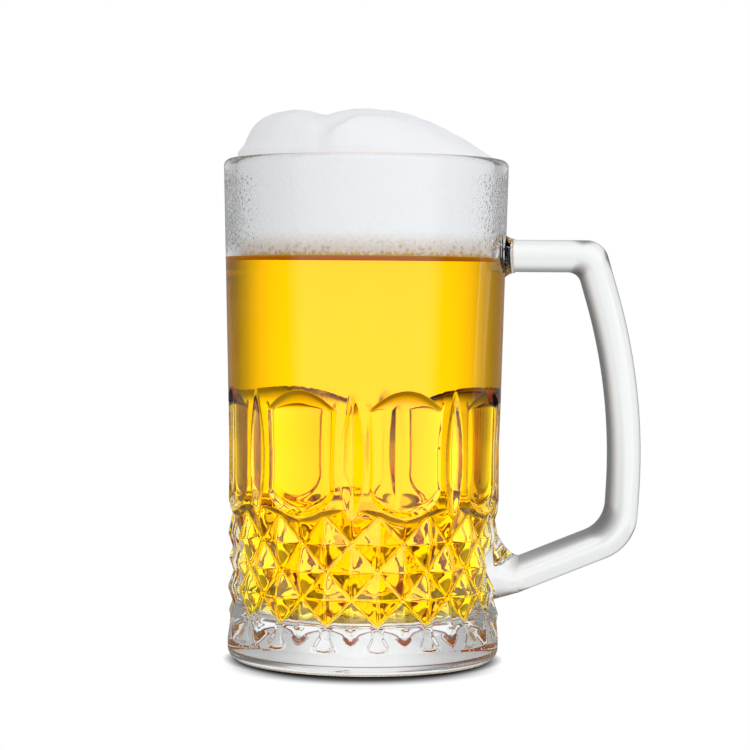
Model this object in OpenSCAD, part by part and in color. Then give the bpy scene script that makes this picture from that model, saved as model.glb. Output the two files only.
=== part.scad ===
// A filled beer mug of pressed glass: barrel with relief, welded handle, beer and foam.
// Millimetres, +Z up. The mug stands on z = 0 on its own axis, with the handle towards +X.

/* [Barrel] */
// Height of the glass from the table to the top of the rim
mug_h = 154; // [146:1:168]
// Outside diameter at the rim
rim_d = 88; // [86:0.5:94]
// Outside diameter of the straight, patterned lower half
waist_d = 83.4; // [81:0.2:85]
// Height at which the barrel starts to widen towards the rim
shoulder_z = 66; // [58:1:72]
// Thickness of the glass at the rim
wall = 4.2; // [3.4:0.1:5.2]
// Thickness of the glass beside the floor
low_wall = 5.7; // [5.2:0.1:8]
// Thickness of the heavy base
base_t = 13; // [10:0.5:16]
// Rounding of the heel under the wall
heel_r = 4.1; // [3:0.1:5]
// Rounding of the inside corner at the floor
floor_r = 6; // [3:0.5:9]
// Breadth of the flat ring that the mug stands on
foot_ring = 7.6; // [5:0.1:12]
// Depth of the hollow under the base
foot_h = 1.2; // [0.6:0.1:2.4]

/* [Windows] */
// Number of flat windows around the barrel
window_n = 8; // [7:1:10]
// Width of a window's flat face where the barrel is straight
window_w = 21.8; // [19:0.1:23]
// Height of the top of the arches above the table
window_top = 84; // [78:0.5:90]
// Height of the foot of the windows above the table
window_foot = 48; // [46:0.5:52]
// Height of the sloping face under an arch
window_head = 4; // [2.5:0.5:6]
// Height of the sloping sill below a window's flat face
window_sill = 9; // [6:0.5:12]

/* [Mitre cuts] */
// Depth of the pointed cuts on the ribs between the windows
mitre_depth = 2; // [1.2:0.1:2.4]
// Length of the pointed cuts
mitre_len = 38; // [30:1:42]
// Drop of the cuts' upper points below the arches
mitre_drop = 2; // [0:0.5:6]

/* [Diamonds] */
// Rows of groove crossings in the diamond band
diamond_rows = 5; // [3:1:5]
// Height of the lowest row of crossings above the table
diamond_low = 14.3; // [13:0.1:16]
// Height from one row of crossings to the next
diamond_step = 8.2; // [7.4:0.1:8.4]
// Depth of the grooves at their crossings
diamond_depth = 2.6; // [1.8:0.1:2.8]
// Depth of the grooves at the crossings of the highest row
diamond_top_depth = 1.4; // [0.8:0.1:2.2]
// Height over which the grooves run out below the lowest row
diamond_foot = 7.6; // [6:0.1:8]
// Height over which the grooves run out above the highest row
diamond_head = 2.6; // [2:0.1:6]
// Width of the notches' lower ends, under the lowest row of crossings
notch_w = 5; // [3:0.1:6]
// Height of the notches' lower ends above the table
notch_low = 7.8; // [7.2:0.1:9]
// Depth of the notches at their lower ends
notch_depth = 0.9; // [0.6:0.1:1.2]

/* [Handle] */
// Reach of the grip's outer edge from the axis of the mug
handle_reach = 85; // [80:0.5:92]
// Drop of the handle's top edge below the rim
handle_drop = 24.3; // [22:0.5:30]
// Height at which the lower arm's underside meets its weld
arm_z = 21.5; // [20:0.5:26]
// Slope of the lower arm in degrees
arm_slope = 22.4; // [16:0.2:26]
// Lean of the upper half of the grip in degrees
grip_lean = 16; // [12:0.5:20]
// Lean of the lower half of the grip in degrees
grip_tuck = 3.4; // [1:0.2:8]
// Thickness of the upper bar
bar_t = 9.9; // [8.5:0.1:11]
// Thickness of the grip
grip_t = 10.3; // [8.5:0.1:11]
// Thickness of the lower arm
arm_t = 10.4; // [8.5:0.1:11]
// Breadth of the handle from side to side
handle_w = 18; // [14:0.5:22]
// Squareness of the handle's cross-section: 2 is an ellipse
handle_square = 2.5; // [2:0.1:3.5]
// Radius of the bend between bar and grip, at the outer edge
bar_bend = 7; // [4:0.5:12]
// Radius of the bend between bar and grip, at the inner edge
bar_hollow = 4; // [2:0.5:8]
// Radius of the gentle bow in the grip, at the outer edge
grip_bow = 180; // [120:5:240]
// Radius of the bend between grip and arm, at the outer edge
arm_bend = 15; // [10:0.5:20]
// Radius of the bend between grip and arm, at the inner edge
arm_hollow = 10; // [6:0.5:14]
// How far the upper pad stands out from the barrel
upper_pad = 2.9; // [2:0.1:5]
// How far the lower pad stands out from the barrel
lower_pad = 6.3; // [4:0.1:8]
// Flare of the upper pad where it meets the barrel
upper_flare = 1.25; // [0.5:0.05:2.5]
// Flare of the lower pad where it meets the barrel
lower_flare = 5.8; // [3:0.1:7]

/* [Drink] */
// Depth of the beer's surface below the rim
beer_drop = 30; // [24:0.5:45]
// Height of the foam's crown above the rim
foam_rise = 16; // [8:0.5:22]
// Height of the foam's edge above the rim
foam_lip = 2; // [0.5:0.5:4]
// Depth of the dip in the foam's crown
foam_dip = 1.2; // [0:0.1:3]
// Free space between the drink and the glass wall
drink_gap = 0.05; // [0.02:0.01:0.2]

/* [Hidden] */
$fn = 96;

rim_r = rim_d / 2;
waist_r = waist_d / 2;
bore_top_r = rim_r - wall;
bore_low_r = waist_r - low_wall;
rim_round = wall / 2;
rim_z = mug_h - rim_round;
beer_z = mug_h - beer_drop;
foot_r = waist_r - heel_r - foot_ring;
pitch = 360 / window_n;
// Turn of the mould's parting line away from the relief
seam = 7;

// Radius of the outside of the barrel and of its bore at a height
function barrel_r(z) =
    z < shoulder_z ? waist_r : waist_r + (rim_r - waist_r) * (z - shoulder_z) / (rim_z - shoulder_z);
function bore_r(z) = bore_low_r + (bore_top_r - bore_low_r) * (z - base_t) / (rim_z - base_t);

// Windows: distance of the flat face from the axis, and how far a cutter reaches
window_flat_x = sqrt(pow(waist_r, 2) - pow(window_w / 2, 2));
window_reach = max(rim_r, waist_r) + 4;

// Mitre cuts: a wheel with a pointed edge, a little narrower at the middle of the cut than the rib
rib_half = waist_r * (pitch / 2 - asin(window_w / 2 / waist_r)) * PI / 180;
mitre_fill = 0.8;
mitre_half = mitre_fill * rib_half;
mitre_wheel = (pow(mitre_len / 2, 2) + pow(mitre_depth, 2)) / (2 * mitre_depth);
mitre_mid = window_top - mitre_drop - mitre_len / 2;
mitre_slope = mitre_half / mitre_depth;
mitre_edge = 2 * mitre_depth;

// Diamonds: four columns to a window, crossings and peaks taking turns
diamond_cols = 4 * window_n;
diamond_top = diamond_low + (diamond_rows - 1) * diamond_step;
diamond_peak_r = waist_r - 0.05;
diamond_run_r = (waist_r + 0.15) / cos(180 / diamond_cols);
diamond_clear_r = diamond_run_r + 3;

// Notches: width at the crossing, how far the floor stays above it, and the slope of the sides
notch_neck = 1.8;
notch_clear = 0.3;
notch_draft = 0.6;
notch_out = diamond_depth + 2;

// Handle: heights and distances of the two welds, and of the corner in the grip
bar_z = mug_h - handle_drop;
bar_x = barrel_r(bar_z - bar_t / 2) + upper_pad;
arm_x = waist_r + lower_pad;
grip_mid = [handle_reach + 1.5, (bar_z + arm_z) / 2 + 8];
section_steps = 24;

// Pads: lip around each weld, growth of their breadth with the flare, and fall of the lower one
pad_lip = 0.3;
pad_stations = 9;
pad_flare_end = 1.2;
upper_spread = 2.4;
lower_spread = 0.2;
lower_fall = 0.3;
// Glass left between the root of a pad and the bore
pad_skin = 0.3;

// Foam: how steep its crown is, how much steeper on the left, and where it dips
crown_power = 6;
crown_lean = 3.8;
dip_x = -11;
dip_w = 5;
foam_rings = 10;
foam_turns = 48;

// Unit vector, crossing of two lines, and the points of a rounded corner
function unit(v) = v / norm(v);
function meet(p, u, q, v) = p + u * (cross(q - p, v) / cross(u, v));
function left(u) = [-u[1], u[0]];
function corner(a, p, b, r, n) =
    let (
        u = unit(a - p),
        v = unit(b - p),
        half = acos(u * v) / 2,
        c = p + unit(u + v) * r / sin(half),
        s = p + u * r / tan(half) - c,
        turn = (180 - 2 * half) * (cross(-u, v) > 0 ? 1 : -1)
    )
    [for (i = [0 : n])
        let (t = turn * i / n)
        c + [s[0] * cos(t) - s[1] * sin(t), s[0] * sin(t) + s[1] * cos(t)]];

// Signed power, for outlines between an ellipse and a rectangle
function spow(v, e) = sign(v) * pow(abs(v), e);

// Directions along the outer edge: out along the bar, down the grip, back along the arm
dir_bar = [1, 0];
dir_up = [sin(grip_lean), -cos(grip_lean)];
dir_low = [-sin(grip_tuck), -cos(grip_tuck)];
dir_arm = [-cos(arm_slope), -sin(arm_slope)];

// Outer corners; the grip bows gently at its middle
bar_end = [bar_x, bar_z];
arm_end = [arm_x, arm_z];
out_top = meet(bar_end, dir_bar, grip_mid, dir_up);
out_low = meet(grip_mid, dir_low, arm_end, dir_arm);
outer_rail = concat(
    [bar_end],
    corner(bar_end, out_top, grip_mid, bar_bend, 10),
    corner(out_top, grip_mid, out_low, grip_bow, 14),
    corner(grip_mid, out_low, arm_end, arm_bend, 12),
    [arm_end]
);

// Inner corners: the outer lines moved in by the thickness of each stretch
in_bar = [bar_x, bar_z - bar_t];
in_top = meet(in_bar, dir_bar, grip_mid - left(dir_up) * grip_t, dir_up);
in_mid = meet(in_top, dir_up, grip_mid - left(dir_low) * grip_t, dir_low);
in_low = meet(in_mid, dir_low, arm_end - left(dir_arm) * arm_t, dir_arm);
in_arm = meet(in_low, dir_arm, arm_end, [0, 1]);
inner_rail = concat(
    [in_bar],
    corner(in_bar, in_top, in_mid, bar_hollow, 10),
    corner(in_top, in_mid, in_low, grip_bow - grip_t, 14),
    corner(in_mid, in_low, in_arm, arm_hollow, 12),
    [in_arm]
);

// A solid through a list of rings with the same number of points, closed by a fan at each end
module loft(rings) {
    n = len(rings[0]);
    m = len(rings);
    first = [for (k = [0 : 2]) [for (p = rings[0]) p[k]] * [for (p = rings[0]) 1] / n];
    last = [for (k = [0 : 2]) [for (p = rings[m - 1]) p[k]] * [for (p = rings[0]) 1] / n];
    points = concat([for (r = rings) each r], [first, last]);
    faces = concat(
        [for (j = [0 : m - 2]) for (i = [0 : n - 1])
            [j * n + i, j * n + (i + 1) % n, (j + 1) * n + i]],
        [for (j = [0 : m - 2]) for (i = [0 : n - 1])
            [j * n + (i + 1) % n, (j + 1) * n + (i + 1) % n, (j + 1) * n + i]],
        [for (i = [0 : n - 1]) [m * n, (i + 1) % n, i]],
        [for (i = [0 : n - 1]) [m * n + 1, (m - 1) * n + i, (m - 1) * n + (i + 1) % n]]
    );
    polyhedron(points, faces);
}

// Half of the bore's cross-section up to a height, with some space left to the wall
module bore_profile(top, gap) {
    corner_z = base_t + floor_r;
    corner_r = bore_r(corner_z) - gap;
    polygon([
        [0, base_t],
        [corner_r - floor_r, base_t],
        [corner_r - floor_r, corner_z],
        [corner_r, corner_z],
        [bore_r(top) - gap, top],
        [0, top]
    ]);
    intersection() {
        translate([corner_r - floor_r, corner_z]) circle(r = floor_r);
        translate([0, base_t]) square([corner_r, floor_r]);
    }
}

// Half of the glass's cross-section: heavy base, hollow foot, wall and rounded rim
module glass_profile() {
    difference() {
        union() {
            polygon([
                [0, 0],
                [waist_r - heel_r, 0],
                [waist_r - heel_r, heel_r],
                [waist_r, heel_r],
                [waist_r, shoulder_z],
                [rim_r, rim_z],
                [0, rim_z]
            ]);
            translate([waist_r - heel_r, heel_r]) circle(r = heel_r);
            translate([rim_r - rim_round, rim_z]) circle(r = rim_round);
        }
        bore_profile(rim_z, 0);
        polygon([[0, -foot_h], [foot_r + foot_h, -foot_h], [foot_r - foot_h, foot_h], [0, foot_h]]);
    }
}

// A window's cutter in side view: the flat face, a slope up to the arch and a sill below
module window_cutter() {
    out = window_reach - window_flat_x;
    head_z = window_top - window_head;
    sill_z = window_foot + window_sill;
    head_slope = window_head / (barrel_r(window_top) - window_flat_x);
    sill_slope = window_sill / (barrel_r(window_foot) - window_flat_x);
    rotate([90, 0, 0])
        linear_extrude(height = waist_d, center = true)
            polygon([
                [window_flat_x, sill_z],
                [window_flat_x, head_z],
                [window_reach, head_z + out * head_slope],
                [window_reach, sill_z - out * sill_slope]
            ]);
}

// A mitre cut's wheel, standing on its edge against the barrel
module mitre_cutter() {
    translate([waist_r - mitre_depth + mitre_wheel, 0, mitre_mid])
        rotate([90, 0, 0])
            rotate_extrude()
                polygon([
                    [mitre_wheel, 0],
                    [mitre_wheel - mitre_edge, mitre_edge * mitre_slope],
                    [mitre_wheel - mitre_edge, -mitre_edge * mitre_slope]
                ]);
}

// A point of the diamond band: column, row, and the radius there
function diamond_r(c, j) =
    j == 0 || j == diamond_rows + 1 ? diamond_run_r
    : (c + j) % 2 == 1 ? diamond_peak_r
    : waist_r - (j == diamond_rows ? diamond_top_depth : diamond_depth);
function diamond_z(j) =
    j == 0 ? diamond_low - diamond_foot
    : j == diamond_rows + 1 ? diamond_top + diamond_head
    : diamond_low + (j - 1) * diamond_step;

// The ring that leaves the diamonds: its inner face carries grooves, its outer face is clear
module diamond_cutter() {
    n = diamond_cols;
    m = diamond_rows + 2;
    step = 360 / n;
    inner = [for (j = [0 : m - 1]) for (c = [0 : n - 1])
        let (r = diamond_r(c, j))
        [r * cos(c * step), r * sin(c * step), diamond_z(j)]];
    outer = [for (j = [0, m - 1]) for (c = [0 : n - 1])
        [diamond_clear_r * cos(c * step), diamond_clear_r * sin(c * step), diamond_z(j)]];
    o = m * n;
    // Each cell is split along the groove that joins its two crossings
    cells = [for (j = [0 : m - 2]) for (c = [0 : n - 1])
        let (
            d = (c + 1) % n,
            a = j * n + c,
            b = j * n + d,
            e = (j + 1) * n + d,
            f = (j + 1) * n + c
        )
        each ((c + j) % 2 == 0 ? [[a, e, b], [a, f, e]] : [[a, f, b], [b, f, e]])];
    shell = [for (c = [0 : n - 1])
        let (d = (c + 1) % n)
        each [[o + c, o + d, o + n + c], [o + d, o + n + d, o + n + c],
              [c, d, o + d], [c, o + d, o + c],
              [(m - 1) * n + c, o + n + d, (m - 1) * n + d], [(m - 1) * n + c, o + n + c, o + n + d]]];
    polyhedron(concat(inner, outer), [for (f = concat(cells, shell)) [f[0], f[2], f[1]]]);
}

// A notch that runs down and out from a crossing of the lowest row
module notch_cutter() {
    spread = notch_draft * notch_out;
    top_x = waist_r - diamond_depth + notch_clear;
    low_x = waist_r - notch_depth;
    floor_ring = [
        [top_x, notch_neck / 2, diamond_low],
        [top_x, -notch_neck / 2, diamond_low],
        [low_x, -notch_w / 2, notch_low],
        [low_x, notch_w / 2, notch_low]
    ];
    past = [for (p = floor_ring)
        [p[0] + notch_out, p[1] + sign(p[1]) * spread, p[2] - (p[2] < diamond_low ? spread : 0)]];
    loft([past, floor_ring]);
}

// Cross-section of the handle between a point of its outer edge and one of its inner edge
function section(o, i, w) = [for (k = [0 : section_steps - 1])
    let (
        a = (k + 0.5) * 360 / section_steps,
        p = (o + i) / 2 + (o - i) / 2 * spow(cos(a), 2 / handle_square)
    )
    [p[0], w / 2 * spow(sin(a), 2 / handle_square), p[1]]];

// Flare of a pad at a distance from its weld
function flare(d, out, wide) = pad_lip + wide * pow(min(d / out, pad_flare_end), 2);

// The pads on the barrel that the handle is welded to, widening towards the glass
module upper_pad_solid() {
    depth = bar_x - bore_r(bar_z + 2 * upper_flare) - pad_skin;
    loft([for (k = [pad_stations : -1 : 0])
        let (d = depth * k / pad_stations, x = bar_x - d, f = flare(d, upper_pad, upper_flare))
        section([x, bar_z + f], [x, bar_z - bar_t - f], handle_w + upper_spread * f)]);
}

module lower_pad_solid() {
    depth = arm_x - bore_r(in_arm[1] + 2 * lower_flare) - pad_skin;
    loft([for (k = [pad_stations : -1 : 0])
        let (d = depth * k / pad_stations, x = arm_x - d, f = flare(d, lower_pad, lower_flare))
        let (wide = handle_w + 2 * pad_lip + lower_spread * f)
        section([x, in_arm[1] + f], [x, arm_z - pad_lip - lower_fall * d], wide)]);
}

// The pressed glass: the relief is cut into the barrel, then the pads are added
module mug_body() {
    color([0.9, 0.94, 0.95, 0.35])
        union() {
            difference() {
                rotate([0, 0, seam]) rotate_extrude() glass_profile();
                for (i = [0 : window_n - 1]) {
                    rotate([0, 0, (i + 0.5) * pitch]) window_cutter();
                    rotate([0, 0, i * pitch]) mitre_cutter();
                }
                diamond_cutter();
                for (c = [1 : 2 : diamond_cols - 1]) rotate([0, 0, c * 360 / diamond_cols]) notch_cutter();
            }
            upper_pad_solid();
            lower_pad_solid();
        }
}

// The handle, a rod of glass bent into a hand-wide loop and welded to both pads
module handle() {
    color([0.92, 0.95, 0.96, 0.35])
        loft([for (k = [0 : len(outer_rail) - 1]) section(outer_rail[k], inner_rail[k], handle_w)]);
}

// The beer fills the bore from the floor to its surface
module beer() {
    color([0.98, 0.78, 0.05])
        rotate_extrude() bore_profile(beer_z, drink_gap);
}

// Height of the foam's crown above the rim: steep on the left, falling slowly on the right
function crown(r, a) =
    let (
        p = crown_power - crown_lean * cos(a),
        x = r * bore_top_r * cos(a),
        dip = foam_dip * exp(-pow((x - dip_x) / dip_w, 2)) * (1 - r)
    )
    foam_lip + (foam_rise - foam_lip) * (1 - pow(r, p)) - dip;

// The foam stands on the beer, fills the bore and heaps up over the rim
module foam_head() {
    turns = [for (i = [0 : foam_turns - 1]) -i * 360 / foam_turns];
    foot = bore_r(beer_z) - drink_gap;
    edge = bore_top_r - drink_gap;
    color([0.96, 0.96, 0.94])
        loft(concat(
            [[for (a = turns) [foot * cos(a), foot * sin(a), beer_z]],
             [for (a = turns) [edge * cos(a), edge * sin(a), rim_z]]],
            [for (k = [0 : foam_rings - 1])
                let (r = 1 - k / foam_rings)
                [for (a = turns) [edge * r * cos(a), edge * r * sin(a), mug_h + crown(r, a)]]]
        ));
}

mug_body();
handle();
beer();
foam_head();
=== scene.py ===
"""Dresses a filled beer mug: pressed glass with a welded handle, lager and froth, on a white table."""
import logging
import math
from collections.abc import Callable
from dataclasses import dataclass
from enum import Enum
from functools import partial

import bmesh
import bpy
import numpy as np
from bpy.types import Material, Node, NodeSocket, NodeTree, Object
from mathutils import Matrix, Vector
from mathutils.bvhtree import BVHTree


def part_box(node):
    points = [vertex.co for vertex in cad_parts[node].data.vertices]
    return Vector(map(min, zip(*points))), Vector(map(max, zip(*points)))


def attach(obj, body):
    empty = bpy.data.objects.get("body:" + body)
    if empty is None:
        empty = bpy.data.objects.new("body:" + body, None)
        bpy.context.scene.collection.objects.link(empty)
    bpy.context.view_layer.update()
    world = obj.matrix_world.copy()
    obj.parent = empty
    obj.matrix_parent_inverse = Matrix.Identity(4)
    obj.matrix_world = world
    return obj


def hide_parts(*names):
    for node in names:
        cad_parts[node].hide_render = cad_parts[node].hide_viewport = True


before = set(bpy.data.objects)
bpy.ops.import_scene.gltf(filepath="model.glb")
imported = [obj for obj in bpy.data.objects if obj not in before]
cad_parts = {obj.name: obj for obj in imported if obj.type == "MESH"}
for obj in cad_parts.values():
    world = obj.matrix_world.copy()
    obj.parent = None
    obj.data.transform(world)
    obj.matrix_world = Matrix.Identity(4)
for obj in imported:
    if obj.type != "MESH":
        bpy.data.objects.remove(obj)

MM = 0.001
MERGE_MM = 0.01
ROOT = "root"
WHITE = "FFFFFF"
BLACK = "000000"
# A ray's count of bounces is past this once there is one.
ONCE = 0.5
SMOOTH = {"interpolation_type": "SMOOTHSTEP"}
log = logging.getLogger("beer_mug")

Point = tuple[float, float]
Place = tuple[float, float, float]
Points = tuple[Point, ...]
Ring = list[Place]
Adder = Callable[..., Node]
Array = np.ndarray


class Slot(Enum):
    """The record's material slots."""

    GLASS = "glass"
    BEER = "beer"
    FOAM = "foam"


def hex_linear(code: str) -> tuple[float, float, float, float]:
    """Turns an sRGB hex colour to a linear one.

    Args:
        code: Six hex digits.

    Returns:
        Linear red, green and blue, and full alpha.
    """
    parts = [int(code[i:i + 2], 16) / 255 for i in (0, 2, 4)]
    red, green, blue = (c / 12.92 if c <= 0.04045 else ((c + 0.055) / 1.055) ** 2.4 for c in parts)
    return red, green, blue, 1.0


def add_node(tree: NodeTree, kind: str, inputs: dict | None = None, **settings) -> Node:
    """Adds a node with its settings, and fills or links its inputs.

    Args:
        tree: The node tree to add to.
        kind: The node's type name, without its prefix.
        inputs: For each input's name or number, a value, an output, or a node for its first output.
        **settings: The node's own properties.

    Returns:
        The new node.
    """
    node = tree.nodes.new("ShaderNode" + kind)
    for name, value in settings.items():
        setattr(node, name, value)
    for socket, value in (inputs or {}).items():
        source = value.outputs[0] if isinstance(value, Node) else value
        if isinstance(source, NodeSocket):
            tree.links.new(source, node.inputs[socket])
        else:
            node.inputs[socket].default_value = source
    return node


def new_material(name: str) -> tuple[Material, Adder]:
    """Makes a material without nodes.

    Args:
        name: The material's name.

    Returns:
        The material, and the function that adds a node to it.
    """
    material = bpy.data.materials.new(name)
    material.use_nodes = True
    material.node_tree.nodes.clear()
    return material, partial(add_node, material.node_tree)


def only(piece: Object) -> None:
    """Makes a piece the only selected object, and the active one.

    Args:
        piece: The object to select.
    """
    bpy.ops.object.select_all(action="DESELECT")
    piece.select_set(True)
    bpy.context.view_layer.objects.active = piece


def new_piece(name: str, points: list, edges: list, faces: list) -> Object:
    """Makes an object from points in millimetres.

    Args:
        name: The piece's name.
        points: Points in millimetres.
        edges: Pairs of point numbers.
        faces: Lists of point numbers.

    Returns:
        The object, linked to the scene.
    """
    mesh = bpy.data.meshes.new(name)
    mesh.from_pydata((np.asarray(points, float) * MM).tolist(), edges, faces)
    piece = bpy.data.objects.new(name, mesh)
    bpy.context.collection.objects.link(piece)
    return piece


def closed(piece: Object, merge_mm: float = 0.002) -> None:
    """Merges the points that lie together and turns the faces outwards.

    Args:
        piece: The object.
        merge_mm: Points nearer than this become one.
    """
    only(piece)
    bpy.ops.object.mode_set(mode="EDIT")
    bpy.ops.mesh.select_all(action="SELECT")
    bpy.ops.mesh.remove_doubles(threshold=merge_mm * MM)
    bpy.ops.mesh.normals_make_consistent(inside=False)
    bpy.ops.object.mode_set(mode="OBJECT")


def applied(piece: Object, kind: str, **settings) -> None:
    """Puts a modifier on a piece and applies it.

    Args:
        piece: The object.
        kind: The modifier's type.
        **settings: The modifier's own properties.
    """
    only(piece)
    modifier = piece.modifiers.new(kind.lower(), kind)
    for name, value in settings.items():
        setattr(modifier, name, value)
    bpy.ops.object.modifier_apply(modifier=modifier.name)


def spun(name: str, profile: list[Point], columns: int) -> Object:
    """Spins half of a cross-section around the mug's axis.

    Args:
        name: The piece's name.
        profile: Radius and height of each point, in millimetres.
        columns: Steps of the full turn.

    Returns:
        A closed piece whose faces point outwards.
    """
    points = [(r, 0.0, z) for r, z in profile]
    piece = new_piece(name, points, [(i, i + 1) for i in range(len(points) - 1)], [])
    only(piece)
    bpy.ops.object.mode_set(mode="EDIT")
    bpy.ops.mesh.select_all(action="SELECT")
    bpy.ops.mesh.spin(steps=columns, angle=math.tau, center=(0, 0, 0), axis=(0, 0, 1))
    bpy.ops.object.mode_set(mode="OBJECT")
    closed(piece)
    return piece


def lofted(name: str, rings: list[Ring]) -> Object:
    """Joins rings with the same number of points into a closed piece.

    Args:
        name: The piece's name.
        rings: Rings of points in millimetres.

    Returns:
        A closed piece whose faces point outwards.
    """
    size = len(rings[0])
    points = [p for ring in rings for p in ring]
    faces: list = [
        (j * size + i, j * size + (i + 1) % size, (j + 1) * size + (i + 1) % size, (j + 1) * size + i)
        for j in range(len(rings) - 1) for i in range(size)
    ]
    last = (len(rings) - 1) * size
    faces += [tuple(range(size)), tuple(range(last, last + size))]
    piece = new_piece(name, points, [], faces)
    closed(piece)
    return piece


def joined(piece: Object, *others: Object) -> None:
    """Joins other pieces to a piece and merges the points that they share.

    Args:
        piece: The object that stays.
        *others: The objects that become part of it.
    """
    only(piece)
    for other in others:
        other.select_set(True)
    bpy.ops.object.join()
    closed(piece, MERGE_MM)


def smoothed(piece: Object, angle: float = 50.0) -> None:
    """Shades a piece smoothly, apart from edges that turn by more degrees than the angle."""
    only(piece)
    bpy.ops.object.shade_smooth_by_angle(angle=math.radians(angle))


def dressed(piece: Object, material: Material, node: str) -> None:
    """Gives a piece its material and its place in the frame, and hides the solid that it stands for.

    Args:
        piece: The finished object.
        material: Its material.
        node: Name of the solid that it replaces.
    """
    piece.data.materials.clear()
    piece.data.materials.append(material)
    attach(piece, ROOT)
    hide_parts(node)
    log.info("%s: %d points, %d faces", piece.name, len(piece.data.vertices), len(piece.data.polygons))


def fused(piece: Object, welds: Point, within: float = 0.05, facing: float = 0.99) -> None:
    """Gives the flat faces of a piece at its welds the finish of fused glass.

    Args:
        piece: The dressed object.
        welds: Distances of the welds from the axis, in millimetres.
        within: How near to a weld such a face lies, in millimetres.
        facing: How straight it faces along the handle, where 1 is straight.
    """
    piece.data.materials.append(FusedSeam().material())
    for face in piece.data.polygons:
        at_weld = any(abs(face.center.x / MM - x) < within for x in welds)
        if at_weld and abs(face.normal.x) > facing:
            face.material_index = len(piece.data.materials) - 1


def clear_to_lamps(add: Adder, surface: Node) -> Node:
    """Lets lamp light and the light of matt surfaces through a clear material, to light what it holds.

    Args:
        add: Adds a node to the material.
        surface: The clear shader.

    Returns:
        The mixed shader.
    """
    path = add("LightPath").outputs
    rays = {0: path["Is Shadow Ray"], 1: path["Is Diffuse Ray"]}
    lighting = add("Math", rays, operation="MAXIMUM")
    return add("MixShader", {0: lighting, 1: surface, 2: add("BsdfTransparent")})


@dataclass(frozen=True)
class PressedGlass:
    """Soda-lime glass, pressed in a mould and fire-polished: clear, with a faint ripple.

    A cold drink mists the glass, so fine drops can stand on it between two heights.
    """

    name: str = "soda_lime_glass"
    tint: str = "FDFEFE"
    ior: float = 1.51
    mirror: str = WHITE
    ripple_mm: float = 16.0
    ripple_depth_mm: float = 0.012
    mist_z: Point | None = None
    mist_edge_mm: float = 5.0
    drop_mm: float = 1.0
    drop_rim: Point = (0.55, 0.05)
    drop_depth_mm: float = 0.04

    def material(self) -> Material:
        """Makes the material.

        Returns:
            The material.
        """
        material, add = new_material(self.name)
        place = add("TexCoord").outputs["Object"]
        ripple = add("TexNoise", {"Vector": place, "Scale": 1 / (self.ripple_mm * MM), "Detail": 1.0})
        surface = add("Bump", {"Height": ripple, "Distance": self.ripple_depth_mm * MM})
        if self.mist_z:
            low, high = (z * MM for z in self.mist_z)
            edge = self.mist_edge_mm * MM
            level = add("SeparateXYZ", {0: place}).outputs["Z"]
            drops = add("TexVoronoi", {"Vector": place, "Scale": 1 / (self.drop_mm * MM)})
            shares = [
                add("MapRange", {"Value": value, "From Min": start, "From Max": end}, **SMOOTH)
                for value, start, end in (
                    (level, low, low + edge), (level, high, high - edge), (drops, *self.drop_rim),
                )
            ]
            height = shares[0]
            for share in shares[1:]:
                height = add("Math", {0: height, 1: share}, operation="MULTIPLY")
            mist = {"Height": height, "Distance": self.drop_depth_mm * MM, "Normal": surface}
            surface = add("Bump", mist)
        glass = add(
            "BsdfPrincipled",
            {"Base Color": hex_linear(self.tint), "Roughness": 0.0, "IOR": self.ior,
             "Transmission Weight": 1.0, "Specular Tint": hex_linear(self.mirror), "Normal": surface},
        )
        add("OutputMaterial", {"Surface": clear_to_lamps(add, glass)})
        return material


@dataclass(frozen=True)
class FusedSeam:
    """Where hot glass was fused to glass: no surface is left there, so light goes straight through."""

    name: str = "fused_glass_seam"

    def material(self) -> Material:
        """Makes the material.

        Returns:
            The material.
        """
        material, add = new_material(self.name)
        add("OutputMaterial", {"Surface": add("BsdfTransparent")})
        return material


@dataclass(frozen=True)
class Lager:
    """Filtered lager: clear, and gold because it takes in blue and a little green over its depth."""

    name: str = "clear_lager"
    ior: float = 1.34
    passed: str = "FFF64B"
    density: float = 140.0

    def material(self) -> Material:
        """Makes the material.

        Returns:
            The material.
        """
        material, add = new_material(self.name)
        drink = add(
            "BsdfPrincipled",
            {"Base Color": hex_linear(WHITE), "Roughness": 0.0, "IOR": self.ior, "Transmission Weight": 1.0,
             "Specular Tint": hex_linear(BLACK)},
        )
        gold = add("VolumeAbsorption", {"Color": hex_linear(self.passed), "Density": self.density})
        add("OutputMaterial", {"Surface": clear_to_lamps(add, drink), "Volume": gold})
        return material


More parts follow.
